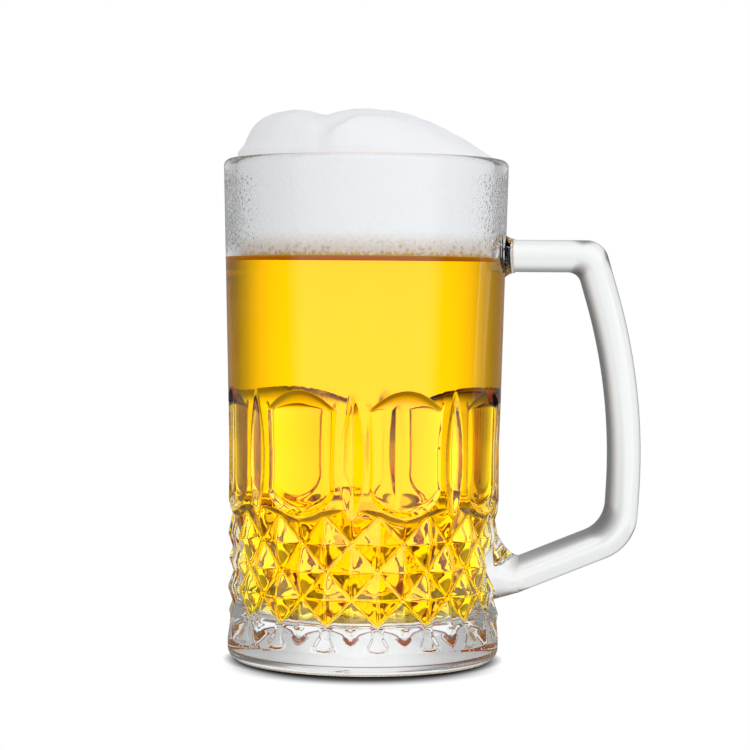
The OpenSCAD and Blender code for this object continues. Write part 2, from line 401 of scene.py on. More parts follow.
@dataclass(frozen=True)
class Froth:
    """Beer froth: white, matt and finely pored, with larger beer-tinted bubbles towards the drink, whose
    hollows are darkened by painted shade, and a beer-wet band at the drink darkened by painted shade.

    Real pores are finer; they are drawn as coarse as they need to be to show.
    """

    line_z: float
    name: str = "beer_froth"
    white: str = "F4F6F9"
    tinted: str = "D1C0AE"
    # Beer tint of the bubbles, darkened by painted shade in their hollows.
    bubble: str = "A88D6C"
    # Beer-soaked froth at the drink, darkened by painted shade.
    wet: str = "C09430"
    pore_mm: float = 1.4
    bubble_mm: float = 1.9
    # Cell distances over which the bubbles' tint and painted hollow shade fade in towards each cell's
    # middle.
    hollow: Point = (0.45, 0.1)
    relief_mm: float = 0.25
    ragged_mm: float = 0.8
    ragged_depth_mm: float = 1.9
    tint_mm: float = 8.0
    grain_mm: float = 5.6
    wet_and_shade_mm: float = 1.0

    def material(self) -> Material:
        """Makes the material.

        Returns:
            The material.
        """
        material, add = new_material(self.name)
        place = add("TexCoord").outputs["Object"]
        level = add("SeparateXYZ", {0: place}).outputs["Z"]
        ragged = add("TexNoise", {"Vector": place, "Scale": 1 / (self.ragged_mm * MM)})
        reach = self.ragged_depth_mm * MM
        sway = add("MapRange", {"Value": ragged, "To Min": -reach, "To Max": reach})
        height = add("Math", {0: level, 1: sway}, operation="ADD")
        pores, cells = (
            add("TexVoronoi", {"Vector": place, "Scale": 1 / (size * MM)})
            for size in (self.pore_mm, self.bubble_mm)
        )
        # Each band is full at the drink and fades upwards; the last is beer-wet froth darkened by painted
        # shade where the froth meets the drink.
        low = self.line_z
        near, grainy, wet = (
            add("MapRange", {"Value": height, "From Min": (low + band) * MM, "From Max": low * MM}, **SMOOTH)
            for band in (self.tint_mm, self.grain_mm, self.wet_and_shade_mm)
        )
        # The bubble colour is full in each cell's middle, where the bump makes a hollow: beer tint with
        # painted shade.
        rim, middle = self.hollow
        hollow = add("MapRange", {"Value": cells, "From Min": rim, "From Max": middle})
        bubble_tint_and_shade = add("Math", {0: hollow, 1: grainy}, operation="MULTIPLY")
        colour = hex_linear(self.white)
        for share, tone in ((near, self.tinted), (bubble_tint_and_shade, self.bubble), (wet, self.wet)):
            tones = {"Factor": share, "A": colour, "B": hex_linear(tone)}
            colour = add("Mix", tones, data_type="RGBA").outputs["Result"]
        relief = add("Mix", {"Factor": near, "A": pores, "B": cells})
        bump = add("Bump", {"Height": relief, "Distance": self.relief_mm * MM, "Strength": 0.5})
        look = {"Base Color": colour, "Roughness": 0.85, "Specular IOR Level": 0.25, "Normal": bump}
        add("OutputMaterial", {"Surface": add("BsdfPrincipled", look)})
        return material


@dataclass(frozen=True)
class Barrel:
    """Sizes of the glass wall, in millimetres."""

    height: float
    rim_r: float
    waist_r: float = 41.7
    shoulder_z: float = 66.0
    wall: float = 4.2
    low_wall: float = 5.7
    base_t: float = 13.0
    heel_r: float = 4.1
    floor_r: float = 6.0
    foot_ring: float = 7.6
    foot_h: float = 1.2

    @property
    def rim_z(self) -> float:
        """Height at which the rim starts to round over."""
        return self.height - self.wall / 2

    def outside(self, z: float) -> float:
        """Radius of the plain barrel at a height."""
        share = max(0.0, (z - self.shoulder_z) / (self.rim_z - self.shoulder_z))
        return self.waist_r + (self.rim_r - self.waist_r) * share

    def bore(self, z: float) -> float:
        """Radius of the bore at a height."""
        low = self.waist_r - self.low_wall
        return low + (self.rim_r - self.wall - low) * (z - self.base_t) / (self.rim_z - self.base_t)

    def floor_line(self, grow: float) -> list[Point]:
        """Half of the bore's outline from the axis up to the top of the floor's corner.

        Args:
            grow: How far the line lies inside the glass.

        Returns:
            Points from the axis outwards.
        """
        corner_z = self.base_t + self.floor_r
        corner_r = self.bore(corner_z) - self.floor_r
        radius = self.floor_r + grow
        flat = [(corner_r * share, self.base_t - grow) for share in (0.0, 0.25, 0.5, 0.75)]
        turns = [math.radians(a) for a in np.linspace(-90, 0, 11)]
        return flat + [(corner_r + radius * math.cos(a), corner_z + radius * math.sin(a)) for a in turns]


@dataclass
class GlassBody:
    """The pressed glass: barrel, relief, base and the two pads for the handle.

    The relief repeats from window to window and is the same to both sides of a window's middle, so it
    is pressed into one half of a repeat, which is then mirrored and repeated.
    """

    barrel: Barrel
    line_z: float
    windows: int = 8
    low: float = 6.0
    high: float = 88.4
    pace: float = 0.16
    across: int = 96
    thin: int = 6
    skirt: float = 0.6
    soft: float = 0.5
    rolled: float = 0.9
    rolled_wide: float = 1.3
    petal_z: Point = (6.9, 14.3)
    petal_edge: float = 2.5
    petal_run: float = 1.2
    petal_soft: float = 1.4
    flute: Points = ((7.2, -1), (7.7, 2.5), (8.6, 3.0), (9.8, 2.4), (11, 1.7), (13, 1.6), (14, -1))
    flute_deep: float = 0.7
    flat_z: float = 68.0
    sill_z: Point = (47.0, 57.0)
    sill_curve: float = 2.2
    sill_run: float = 1.7
    sill_edge: float = 1.5
    step: float = 0.4
    head_z: float = 84.0
    head_cut: float = 4.0
    head_run: float = 7.0
    fillet: float = 1.9
    plain_within: float = 0.06
    kept: float = 0.085
    ray_from: float = 1.5
    beside: float = 0.5

    @property
    def columns(self) -> int:
        """Columns of the plain parts, in step with the thinned edges of the relief."""
        return 2 * self.windows * self.across // self.thin

    def sounding(self, turns: Array, levels: Array) -> Array:
        """Measures how deep the relief lies under the plain barrel, by rays at the solid.

        Args:
            turns: Angles around the axis.
            levels: Heights.

        Returns:
            A depth in millimetres for each height and angle.
        """
        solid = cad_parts["mug_body"].data
        tree = BVHTree.FromPolygons([v.co for v in solid.vertices], [p.vertices for p in solid.polygons])
        depth = np.zeros((len(levels), len(turns)))
        start_r = self.ray_from * self.barrel.rim_r * MM
        for j, z in enumerate(levels):
            for i, turn in enumerate(turns):
                out = Vector((math.cos(turn), math.sin(turn), 0.0))
                hit = tree.ray_cast(out * start_r + Vector((0, 0, z * MM)), -out)[0]
                lost = self.barrel.outside(z) - math.hypot(hit.x, hit.y) / MM
                depth[j, i] = lost if lost > self.plain_within else 0.0
        return depth

    def softened(self, depth: Array, wide: float) -> Array:
        """Rounds the edges of the relief.

        Args:
            depth: Depths on the grid.
            wide: Width of the rounding, in millimetres.

        Returns:
            The rounded depths.
        """
        reach = math.ceil(3 * wide / self.pace)
        share = np.exp(-0.5 * (np.arange(-reach, reach + 1) * self.pace / wide) ** 2)
        share /= share.sum()
        for axis, mode in ((0, "edge"), (1, "reflect")):
            ends = [(0, 0), (0, 0)]
            ends[axis] = (reach, reach)
            padded = np.pad(depth, ends, mode=mode)
            depth = np.apply_along_axis(np.convolve, axis, padded, share, "valid")
        return depth

    def filleted(self, depth: Array, levels: Array) -> Array:
        """Shapes the windows: curved heads, full round feet, and a small step in along their outlines.

        The band of diamonds starts under their feet.

        Args:
            depth: Depths on the grid.
            levels: Heights of its rows.

        Returns:
            The depths with shaped windows.
        """
        flat = depth[np.argmin(np.abs(levels - self.flat_z))]
        inside = np.logical_and.accumulate(flat[::-1] > 0)[::-1]
        full = np.where(inside, flat, 1.0)
        below = self.head_z - levels
        drawn = np.where((below > 0) & (below < self.head_run), below * self.head_cut / self.head_run, below)
        longer = np.array([np.interp(self.head_z - drawn, levels, column) for column in depth.T]).T
        curved = full * (1 - (1 - np.clip(longer / full, 0, 1)) ** self.fillet)
        low, high = self.sill_z
        rows = levels[:, None]
        outline = high - (high - low) * (full / full[-1]) ** (1 / self.sill_curve)
        under = depth * np.clip((outline - rows) / self.sill_edge, 0, 1)
        sill = full * np.clip((rows - outline) / self.sill_run, 0, 1)
        shaped = np.where(rows > high, np.minimum(curved, sill), sill)
        shaped = np.where(shaped > 0, shaped + self.step, under)
        return np.where(inside, shaped, depth)

    def polished(self, depth: Array, levels: Array, turns: Array) -> Array:
        """Rounds the edges and rolls the glass up beside them, as pressing and fire-polishing do.

        The foot of the diamond band runs out in soft petals, with a flute under each second crossing.

        Args:
            depth: Depths on the grid.
            levels: Heights of its rows.
            turns: Angles of its columns.

        Returns:
            The depths of the finished surface.
        """
        fine = self.softened(depth, self.soft)
        fine = np.maximum(fine + self.rolled * (fine - self.softened(fine, self.rolled_wide)), 0.0)
        low, high = self.petal_z
        row = self.softened(depth, self.petal_soft)[np.argmin(np.abs(levels - high))]
        drawn = row * np.clip((levels - low) / (high - low), 0, 1)[:, None] ** self.petal_run
        share = np.clip((high - levels) / self.petal_edge, 0, 1)[:, None]
        petals = fine + (drawn - fine) * share
        aside = np.abs(turns - turns[-1] / 2) * self.barrel.waist_r
        inside = np.interp(levels, *zip(*self.flute))[:, None] > aside
        return petals + self.softened(self.flute_deep * inside, self.soft / 2)

    def patch(self) -> Object:
        """Presses half of a repeat, from the middle of a rib to the middle of a window.

        Returns:
            An open piece, fine at the edges of the relief and coarse where it is flat.
        """
        half = math.pi / self.windows
        turns = np.linspace(0, half, self.across + 1)
        levels = np.linspace(self.low, self.high, round((self.high - self.low) / self.pace) + 1)
        nudge = 1e-5
        depth = self.filleted(self.sounding(math.pi - nudge - turns * (1 - nudge), levels), levels)
        depth = self.polished(depth, levels, turns)
        radius = np.array([self.barrel.outside(z) for z in levels])[:, None] - depth
        points = [
            (radius[j, i] * math.cos(t), radius[j, i] * math.sin(t), z)
            for j, z in enumerate(levels) for i, t in enumerate(turns)
        ]
        wide = self.across + 1
        faces: list = [
            (j * wide + i, j * wide + i + 1, (j + 1) * wide + i + 1, (j + 1) * wide + i)
            for j in range(len(levels) - 1) for i in range(self.across)
        ]
        fine = len(points)
        for row, z in ((0, self.low - self.skirt), (len(levels) - 1, self.high + self.skirt)):
            first = len(points)
            r = self.barrel.outside(z)
            points += [(r * math.cos(t), r * math.sin(t), z) for t in turns[::self.thin]]
            for k in range(self.across // self.thin):
                near = [row * wide + k * self.thin + i for i in range(self.thin + 1)]
                middle = self.thin // 2
                faces += [(first + k, a, b) for a, b in zip(near[:middle], near[1:middle + 1])]
                faces.append((first + k, near[middle], first + k + 1))
                faces += [(first + k + 1, a, b) for a, b in zip(near[middle:-1], near[middle + 1:])]
        piece = new_piece("pressed_glass", points, [], faces)
        group = piece.vertex_groups.new(name="fine")
        group.add(list(range(fine)), 1.0, "REPLACE")
        applied(piece, "DECIMATE", ratio=self.kept, vertex_group=group.name)
        return piece

    def squared(self, piece: Object) -> None:
        """Sets the sides of the patch exactly on the planes that it is mirrored in.

        Args:
            piece: The patch.
        """
        half = math.pi / self.windows
        work = bmesh.new()
        work.from_mesh(piece.data)
        for v in work.verts:
            if v.is_boundary and self.low - self.skirt / 2 < v.co.z / MM < self.high + self.skirt / 2:
                r = math.hypot(v.co.x, v.co.y)
                turn = 0.0 if math.atan2(v.co.y, v.co.x) < half / 2 else half
                v.co.x, v.co.y = r * math.cos(turn), r * math.sin(turn)
        work.to_mesh(piece.data)
        work.free()

    def repeated(self, piece: Object) -> None:
        """Mirrors the patch and repeats it around the barrel.

        Args:
            piece: The patch.
        """
        applied(piece, "MIRROR", use_axis=(False, True, False), merge_threshold=MERGE_MM * MM)
        step = bpy.data.objects.new("step", None)
        step.rotation_euler = (0.0, 0.0, math.tau / self.windows)
        bpy.context.collection.objects.link(step)
        bpy.context.view_layer.update()
        applied(
            piece, "ARRAY", count=self.windows, use_relative_offset=False, use_object_offset=True,
            offset_object=step, use_merge_vertices=True, use_merge_vertices_cap=True,
            merge_threshold=MERGE_MM * MM,
        )
        bpy.data.objects.remove(step)

    def under(self) -> list[Point]:
        """Half of the cross-section from the axis under the base up to the relief.

        Returns:
            Radius and height of each point.
        """
        b = self.barrel
        foot_r = b.waist_r - b.heel_r - b.foot_ring
        foot = [(foot_r * share, b.foot_h) for share in (0.0, 0.3, 0.6, 0.9)]
        foot += [(foot_r - b.foot_h, b.foot_h), (foot_r, 0.0), (foot_r + b.foot_ring / 2, 0.0)]
        heel = [(b.waist_r - b.heel_r + b.heel_r * math.cos(a), b.heel_r + b.heel_r * math.sin(a))
                for a in np.radians(np.linspace(-90, 0, 13))]
        return [*foot, *heel, (b.waist_r, self.low - self.skirt)]

    def over(self) -> list[Point]:
        """Half of the cross-section from the relief over the rim and down the bore to the axis.

        Returns:
            Radius and height of each point.
        """
        b = self.barrel
        half = b.wall / 2
        outside = [(b.outside(z), z) for z in np.linspace(self.high + self.skirt, b.rim_z, 16)]
        rim = [(b.rim_r - half + half * math.cos(a), b.rim_z + half * math.sin(a))
               for a in np.radians(np.linspace(0, 180, 19)[1:-1])]
        floor = b.floor_line(0.0)
        bore = [(b.bore(z), z) for z in np.linspace(b.rim_z, self.line_z, 5)[:-1]]
        bore += [(b.bore(z), z) for z in np.linspace(self.line_z, floor[-1][1], 9)[:-1]]
        return outside + rim + bore + floor[::-1]

    def wet(self, piece: Object) -> None:
        """Gives the bore below the drink's surface a finish without a mirror, as wet glass has.

        Args:
            piece: The glass.
        """
        piece.data.materials.append(PressedGlass(name="soda_lime_glass_wet", mirror=BLACK).material())
        for face in piece.data.polygons:
            x, y, z = face.center / MM
            inside = math.hypot(x, y) < self.barrel.bore(max(z, self.barrel.base_t)) + self.beside
            face.material_index = int(inside and self.barrel.base_t - self.beside < z < self.line_z)

    def build(self, pads: Object, welds: Point) -> None:
        """Presses the relief, turns the plain parts, welds the pads on and dresses the glass.

        Args:
            pads: The pads that the handle is welded to.
            welds: Distances of the welds from the axis.
        """
        piece = self.patch()
        self.squared(piece)
        self.repeated(piece)
        joined(piece, spun("base", self.under(), self.columns), spun("wall", self.over(), self.columns))
        applied(piece, "BOOLEAN", operation="UNION", solver="EXACT", object=pads)
        bpy.data.objects.remove(pads)
        smoothed(piece)
        applied(piece, "WEIGHTED_NORMAL", keep_sharp=True)
        misted = PressedGlass(mist_z=(self.line_z, self.barrel.rim_z))
        dressed(piece, misted.material(), "mug_body")
        self.wet(piece)
        fused(piece, welds)


def toward(a: Array, b: Array) -> Array:
    """Unit vector from one point to another."""
    return (b - a) / np.linalg.norm(b - a)


def crossing(p: Array, u: Array, q: Array, v: Array) -> Array:
    """Point where the line through p along u crosses the line through q along v."""
    away = q - p
    return p + u * ((away[0] * v[1] - away[1] * v[0]) / (u[0] * v[1] - u[1] * v[0]))


def rounded(a: Array, p: Array, b: Array, radius: float, steps: int) -> list[Array]:
    """Points of a rounded corner.

    Args:
        a: A point before the corner.
        p: The corner.
        b: A point after it.
        radius: The rounding.
        steps: Steps along the arc.

    Returns:
        Points along the arc.
    """
    u, v = toward(p, a), toward(p, b)
    half = math.acos(float(u @ v)) / 2
    centre = p + toward(np.zeros(2), u + v) * radius / math.sin(half)
    start = p + u * radius / math.tan(half) - centre
    side = 1 if u[1] * v[0] - u[0] * v[1] > 0 else -1
    points = []
    for t in np.linspace(0, side * (math.pi - 2 * half), steps + 1):
        c, s = math.cos(t), math.sin(t)
        points.append(centre + np.array([start[0] * c - start[1] * s, start[0] * s + start[1] * c]))
    return points


@dataclass(frozen=True)
class Pad:
    """A pad on the barrel, which widens from its weld towards the glass.

    The spread is the growth of its breadth with the flare. The fall is the slope of its underside, or 0
    where that flares too.
    """

    out: float
    flare: float
    spread: float
    fall: float = 0.0


@dataclass
class Handle:
    """The loop handle and the two pads that it is welded to, in millimetres and degrees."""

    barrel: Barrel
    reach: float
    top_z: float
    arm_z: float = 21.5
    arm_slope: float = 22.4
    lean: float = 16.0
    tuck: float = 3.4
    bar_t: float = 9.9
    grip_t: float = 10.3
    arm_t: float = 10.4
    breadth: float = 18.0
    square: float = 3.2
    round_in: float = 1.6
    bar_bend: float = 7.0
    bar_hollow: float = 4.0
    grip_bow: float = 180.0
    arm_bend: float = 15.0
    arm_hollow: float = 10.0
    upper: Pad = Pad(out=2.9, flare=1.25, spread=2.4)
    lower: Pad = Pad(out=6.3, flare=5.8, spread=0.2, fall=0.3)
    pad_lip: float = 0.3
    flare_end: float = 1.2
    skin: float = 0.3
    seam: float = 0.02
    around: int = 56
    bow_out: float = 1.5
    bow_rise: float = 8.0
    bend_steps: tuple[int, ...] = (22, 30, 24)
    straight_steps: tuple[int, ...] = (5, 6, 4, 9)
    pad_rings: int = 25

    @property
    def bar_x(self) -> float:
        """Distance of the upper weld from the axis."""
        return self.barrel.outside(self.top_z - self.bar_t / 2) + self.upper.out

    @property
    def arm_x(self) -> float:
        """Distance of the lower weld from the axis."""
        return self.barrel.waist_r + self.lower.out

    @property
    def welds(self) -> Point:
        """Distances of both welds from the axis."""
        return self.bar_x, self.arm_x

    def rails(self) -> tuple[list[Array], list[Array]]:
        """Works out the handle's outer and inner edges, from the upper weld to the lower.

        Returns:
            Matching points along both edges.
        """
        lean, tuck, slope = (math.radians(a) for a in (self.lean, self.tuck, self.arm_slope))
        bar = np.array([1.0, 0.0])
        up = np.array([math.sin(lean), -math.cos(lean)])
        low = np.array([-math.sin(tuck), -math.cos(tuck)])
        arm = np.array([-math.cos(slope), -math.sin(slope)])
        start = np.array([self.bar_x + self.seam, self.top_z])
        end = np.array([self.arm_x + self.seam, self.arm_z])
        middle = np.array([self.reach + self.bow_out, (self.top_z + self.arm_z) / 2 + self.bow_rise])
        top, bottom = crossing(start, bar, middle, up), crossing(middle, low, end, arm)
        inward = [np.array([d[1], -d[0]]) for d in (up, low, arm)]
        in_start = start - np.array([0, self.bar_t])
        in_top = crossing(in_start, bar, middle + inward[0] * self.grip_t, up)
        in_middle = crossing(in_top, up, middle + inward[1] * self.grip_t, low)
        in_bottom = crossing(in_middle, low, end + inward[2] * self.arm_t, arm)
        in_end = crossing(in_bottom, arm, end, np.array([0.0, 1.0]))
        outer = self.rail([start, top, middle, bottom, end], (self.bar_bend, self.grip_bow, self.arm_bend))
        hollow = (self.bar_hollow, self.grip_bow - self.grip_t, self.arm_hollow)
        inner = self.rail([in_start, in_top, in_middle, in_bottom, in_end], hollow)
        return outer, inner

    def rail(self, corners: list[Array], radii: Place) -> list[Array]:
        """One edge of the handle, with straights between its rounded corners.

        Args:
            corners: The ends and the three corners.
            radii: Roundings of the three corners.

        Returns:
            Points along the edge.
        """
        bends = [rounded(*bend) for bend in zip(corners, corners[1:], corners[2:], radii, self.bend_steps)]
        rail = corners[:1]
        for bend, count in zip([*bends, corners[-1:]], self.straight_steps):
            rail += [rail[-1] + (bend[0] - rail[-1]) * k / count for k in range(1, count)] + list(bend)
        return rail

    def section(self, outer: Array, inner: Array, breadth: float) -> Ring:
        """Cross-section between a point of the outer edge and one of the inner edge.

        Args:
            outer: Distance and height of the outer point.
            inner: Distance and height of the inner point.
            breadth: Size from side to side.

        Returns:
            A ring of points.
        """
        ring = []
        for k in range(self.around):
            a = math.tau * (k + 0.5) / self.around
            c, s = math.cos(a), math.sin(a)
            power = 2 / (self.square if c > 0 else self.round_in)
            x, z = (outer + inner) / 2 + (outer - inner) / 2 * math.copysign(abs(c) ** power, c)
            ring.append((x, breadth / 2 * math.copysign(abs(s) ** power, s), z))
        return ring

    def welded(self, pad: Pad, weld_x: float, top: float, low: float) -> Object:
        """Lofts a pad from its weld to its root in the wall.

        Args:
            pad: The pad's sizes.
            weld_x: Distance of the weld from the axis.
            top: Height of the weld's upper edge.
            low: Height of the weld's lower edge.

        Returns:
            The pad.
        """
        root = self.barrel.bore(top + 2 * pad.flare) + self.skin
        rings = []
        for d in np.linspace(0, weld_x - root, self.pad_rings):
            f = pad.flare * min(d / pad.out, self.flare_end) ** 2 + (0.0 if pad.fall else self.pad_lip)
            under = low - (pad.fall * d if pad.fall else f)
            ends = [np.array([weld_x - d, top + f]), np.array([weld_x - d, under])]
            rings.append(self.section(*(ends[::-1] if pad.fall else ends), self.breadth + pad.spread * f))
        return lofted("pad", rings)

    def pads(self) -> Object:
        """Makes the pads for the bar and for the arm.

        Returns:
            Both pads, as one piece.
        """
        inner_end = self.rails()[1][-1]
        upper = self.welded(self.upper, self.bar_x, self.top_z, self.top_z - self.bar_t)
        joined(upper, self.welded(self.lower, self.arm_x, float(inner_end[1]), self.arm_z))
        return upper

    def build(self) -> None:
        """Lofts the handle between its rails and dresses it."""
        sections = [self.section(outer, inner, self.breadth) for outer, inner in zip(*self.rails())]
        piece = lofted("loop_handle", sections)
        smoothed(piece)
        dressed(piece, PressedGlass().material(), "handle")
        fused(piece, self.welds)


@dataclass
class Drink:
    """The lager and its froth, in millimetres."""

    barrel: Barrel
    line_z: float
    crest_z: float
    wetting: float = 0.1
    air: float = 0.05
    columns: int = 256
    lip: float = 2.0
    right_lip: float = 0.4
    dip: float = 2.3
    dip_x: float = -11.0
    dip_wide: float = 5.0
    skirt: float = 0.05
    skirt_h: float = 2.6
    settled: float = 1.4
    mound: float = 2.3
    mound_left: float = -11.0
    mound_run: float = 11.0
    mound_foot: float = 4.6
    mound_top: float = 11.2
    mound_fade: float = 7.0
    mound_right: Point = (2.0, 11.0)
    mound_depth: float = 8.0
    mound_side: float = 5.0
    mound_out: Point = (0.8, 0.5)
    crease: float = 0.3
    dome_power: Point = (6.0, 3.8)
    dip_edge: int = 4
    lump: float = 0.2
    lump_edge: int = 6
    lump_waves: tuple[Place, ...] = ((0.43, 0.31, 0.8), (-0.24, 0.52, 2.1))
    soft_angle: float = 60.0

    def lager(self) -> None:
        """Spins the lager so that it wets the glass, and dresses it."""
        floor = self.barrel.floor_line(self.wetting)
        heights = np.linspace(floor[-1][1], self.line_z, 9)[1:]
        wall = [(self.barrel.bore(z) + self.wetting, z) for z in heights]
        top = [(wall[-1][0] * share, self.line_z) for share in (0.66, 0.33, 0.0)]
        piece = spun("lager", floor + wall + top, self.columns)
        smoothed(piece, self.soft_angle)
        dressed(piece, Lager().material(), "beer")

    def crown_z(self, x: Array, y: Array) -> Array:
        """Height of the froth's crown over a place.

        Args:
            x: Distances towards the handle.
            y: Distances away from the viewer.

        Returns:
            Heights in millimetres.
        """
        edge = self.barrel.bore(self.barrel.rim_z)
        r = np.clip(np.hypot(x, y) / edge, 0, 1)
        turn = np.arctan2(y, x)
        left = (1 - np.cos(turn)) / 2
        lip = self.right_lip + (self.lip - self.right_lip) * left
        rise = self.crest_z - self.barrel.height - lip
        inset = 1 - self.skirt * left
        steep, skew = self.dome_power
        dome = 1 - np.minimum(r / inset, 1) ** (steep - skew * np.cos(turn))
        skirt = self.skirt_h * left
        spread = skirt * np.minimum((1 - r) / np.maximum(1 - inset, 1e-6), 1)
        valley = self.dip * np.exp(-(((x - self.dip_x) / self.dip_wide) ** 2)) * (1 - r ** self.dip_edge)
        waves = sum(np.sin(u * x + v * y + start) for u, v, start in self.lump_waves)
        lumps = self.lump * waves - self.settled
        heap = spread + (rise - skirt) * dome - valley + lumps * (1 - r ** self.lump_edge)
        return self.barrel.height + lip + heap

    def front_mound(self, coords: Array) -> Array:
        """How far a place on the crown stands out on the mound at its front.

        The mound ends to its upper left in a crease, and runs out softly below and to its right.

        Args:
            coords: Places on the crown.

        Returns:
            Distances outwards, in millimetres.
        """
        x, y, z = coords.T
        run = np.clip((x - self.mound_left) / self.mound_run, 0, 1)
        edge = self.barrel.height + self.mound_foot + (self.mound_top - self.mound_foot) * run
        below = edge - z
        step = 1 / (1 + np.exp(-np.clip(below / self.crease, -30, 30)))
        past, wide = self.mound_right
        fade = np.exp(-np.maximum(below, 0) / self.mound_fade)
        fade *= np.exp(-(np.maximum(x - past, 0) / wide) ** 2)
        front = np.clip(-y / self.mound_depth, 0, 1) * np.clip((x - self.mound_left) / self.mound_side, 0, 1)
        return self.mound * step * fade * front

    def froth(self) -> None:
        """Spins the froth, heaps its crown and dresses it."""
        b = self.barrel
        low = self.line_z - self.wetting
        bottom = [(share * (b.bore(low) - self.air), low) for share in np.linspace(0, 1, 6)]
        wall = [(b.bore(z) - self.air, z) for z in np.linspace(low, b.rim_z, 30)[1:]]
        edge = wall[-1][0]
        crown = [(edge * share, b.height + self.lip) for share in np.linspace(1, 0, 60)]
        piece = spun("froth_head", bottom + wall + crown, self.columns)
        coords = np.array([v.co for v in piece.data.vertices]) / MM
        heaped = coords[:, 2] > b.height
        crown_at = coords[heaped]
        crown_at[:, 2] = self.crown_z(crown_at[:, 0], crown_at[:, 1])
        out = self.front_mound(crown_at)
        forward, upward = self.mound_out
        crown_at[:, 1] -= forward * out
        crown_at[:, 2] += upward * out
        coords[heaped] = crown_at
        piece.data.vertices.foreach_set("co", (coords * MM).ravel())
        smoothed(piece, self.soft_angle)
        dressed(piece, Froth(self.line_z).material(), "foam_head")


@dataclass
class Studio:
    """White table with a painted contact shadow, white backdrop with darker sides, a soft lamp and the
    camera.
    """

    turn: float = 5.0
    distance: float = 760.0
    eye_z: float = 109.6
    roll: float = 0.45
    lens: float = 117.9
    shift: Point = (0.0129, -0.0947)
    sensor: float = 36.0
    screen_around: Points = (
        (0, 1.0), (9, 0.96), (15, 0.76), (22, 0.45), (30, 0.23), (40, 0.15), (60, 0.15), (80, 0.3),
        (100, 0.5), (130, 0.62), (180, 0.65),
    )
    screen_above: Points = ((-90, 1.0), (0, 1.0), (10, 0.95), (18, 0.72), (28, 0.42), (45, 0.25), (90, 0.45))
    card_around: Points = (
        (0, 1.0), (12, 0.94), (20, 0.8), (27, 0.57), (34, 0.34), (42, 0.19), (50, 0.14), (62, 0.16),
        (90, 0.42), (130, 0.6), (180, 0.65),
    )
    card_above: Points = (
        (-90, 1.0), (0, 1.0), (2, 0.97), (5, 0.78), (9, 0.5), (13, 0.32), (18, 0.22), (30, 0.18),
        (60, 0.25), (90, 0.5),
    )
    mirrored: Points = ((0, 0.3), (50, 0.05), (70, 0.02), (112, 0.02), (127, 1.1), (180, 1.1))
    mirrored_above: Points = ((-90, 0.8), (0, 1.0), (12, 1.5), (40, 1.5), (90, 1.0))
    screen: float = 0.92
    inner_light: float = 0.45
    inner_table: float = 0.1
    card: float = 1.85
    drink_depth: float = 4.5
    table_size: float = 6.0
    table_gain: float = 1.04
    table_lead: float = 85.0
    # The table's painted contact shadow: a darkened disc set forward of the mug, and ambient occlusion at
    # the touch.
    shadow_shift: float = 14.0
    shadow_core: float = 29.0
    shadow_edge: float = 43.0
    contact: float = 3.0
    shadow_dark: float = 0.06
    fill: float = 0.77
    lamp_size: float = 0.7
    lamp_watts: float = 2.4
    lamp_at: Place = (0.55, -0.85, 0.32)
    lamp_aim: Place = (0.0, 0.0, 0.14)

    @property
    def behind(self) -> Place:
        """Direction from the camera to the mug, level with the table."""
        turn = math.radians(self.turn)
        return -math.sin(turn), math.cos(turn), 0.0

    @staticmethod
    def falloff(add: Adder, angle: Node, stops: Points) -> Node:
        """Brightness of the backdrop along one angle.

        Args:
            add: Adds a node to the world or the table.
            angle: The angle, in radians.
            stops: Angles in degrees with the brightness there, from the lowest to the highest.

        Returns:
            The brightness.
        """
        low, high = stops[0][0], stops[-1][0]
        span = {"Value": angle, "From Min": math.radians(low), "From Max": math.radians(high)}
        ramp = add("ValToRGB", {0: add("MapRange", span)})
        marks = ramp.color_ramp.elements
        while len(marks) < len(stops):
            marks.new(0.5)
        for mark, (degrees, bright) in zip(marks, stops):
            mark.position = (degrees - low) / (high - low)
            mark.color = (bright, bright, bright, 1.0)
        return ramp

    def backdrop(self, add: Adder, heading: NodeSocket, inner_light: float) -> Node:
        """Brightness of the studio in a direction: a screen behind the mug, darker sides and top.

        Rays refracted more times than drink_depth, as those through the drink are, see a brighter backdrop,
        as if a reflector card stood behind the drink, so what is seen through the drink is brighter than
        what is seen through clear glass. Light that clear glass turns back inside is lifted, and glass
        mirrors the front of the studio.

        Args:
            add: Adds a node to the world or the table.
            heading: The direction.
            inner_light: Share by which light that was turned back inside clear glass is lifted to white.

        Returns:
            The brightness.
        """
        unit = add("VectorMath", {0: heading}, operation="NORMALIZE")
        axes = add("SeparateXYZ", {0: unit}).outputs
        level = add("CombineXYZ", {"X": axes["X"], "Y": axes["Y"]})
        flat = add("VectorMath", {0: level}, operation="NORMALIZE")
        facing = add("VectorMath", {0: flat, 1: self.behind}, operation="DOT_PRODUCT")
        turned = add("Math", {0: facing.outputs["Value"]}, operation="ARCCOSINE")
        raised = add("Math", {0: axes["Z"]}, operation="ARCSINE")
        path = add("LightPath").outputs
        carded, turned_back = (
            add("Math", {0: path[count], 1: past}, operation="GREATER_THAN")
            for count, past in (("Transmission Depth", self.drink_depth), ("Glossy Depth", ONCE))
        )
        shades = []
        for around, above, gain in (
            (self.screen_around, self.screen_above, self.screen),
            (self.card_around, self.card_above, self.card),
            (self.mirrored, self.mirrored_above, 1.0),
        ):
            falls = {0: self.falloff(add, turned, around), 1: self.falloff(add, raised, above)}
            both = add("Math", falls, operation="MULTIPLY")
            shades.append(add("Math", {0: both, 1: gain}, operation="MULTIPLY"))
        screen, card, front = shades
        share = add("Math", {0: turned_back, 1: inner_light}, operation="MULTIPLY")
        lifted = add("Mix", {"Factor": share, "A": screen, "B": 1.0})
        through = add("Mix", {"Factor": carded, "A": lifted, "B": card})
        return add("Mix", {"Factor": path["Is Transmission Ray"], "A": front, "B": through})

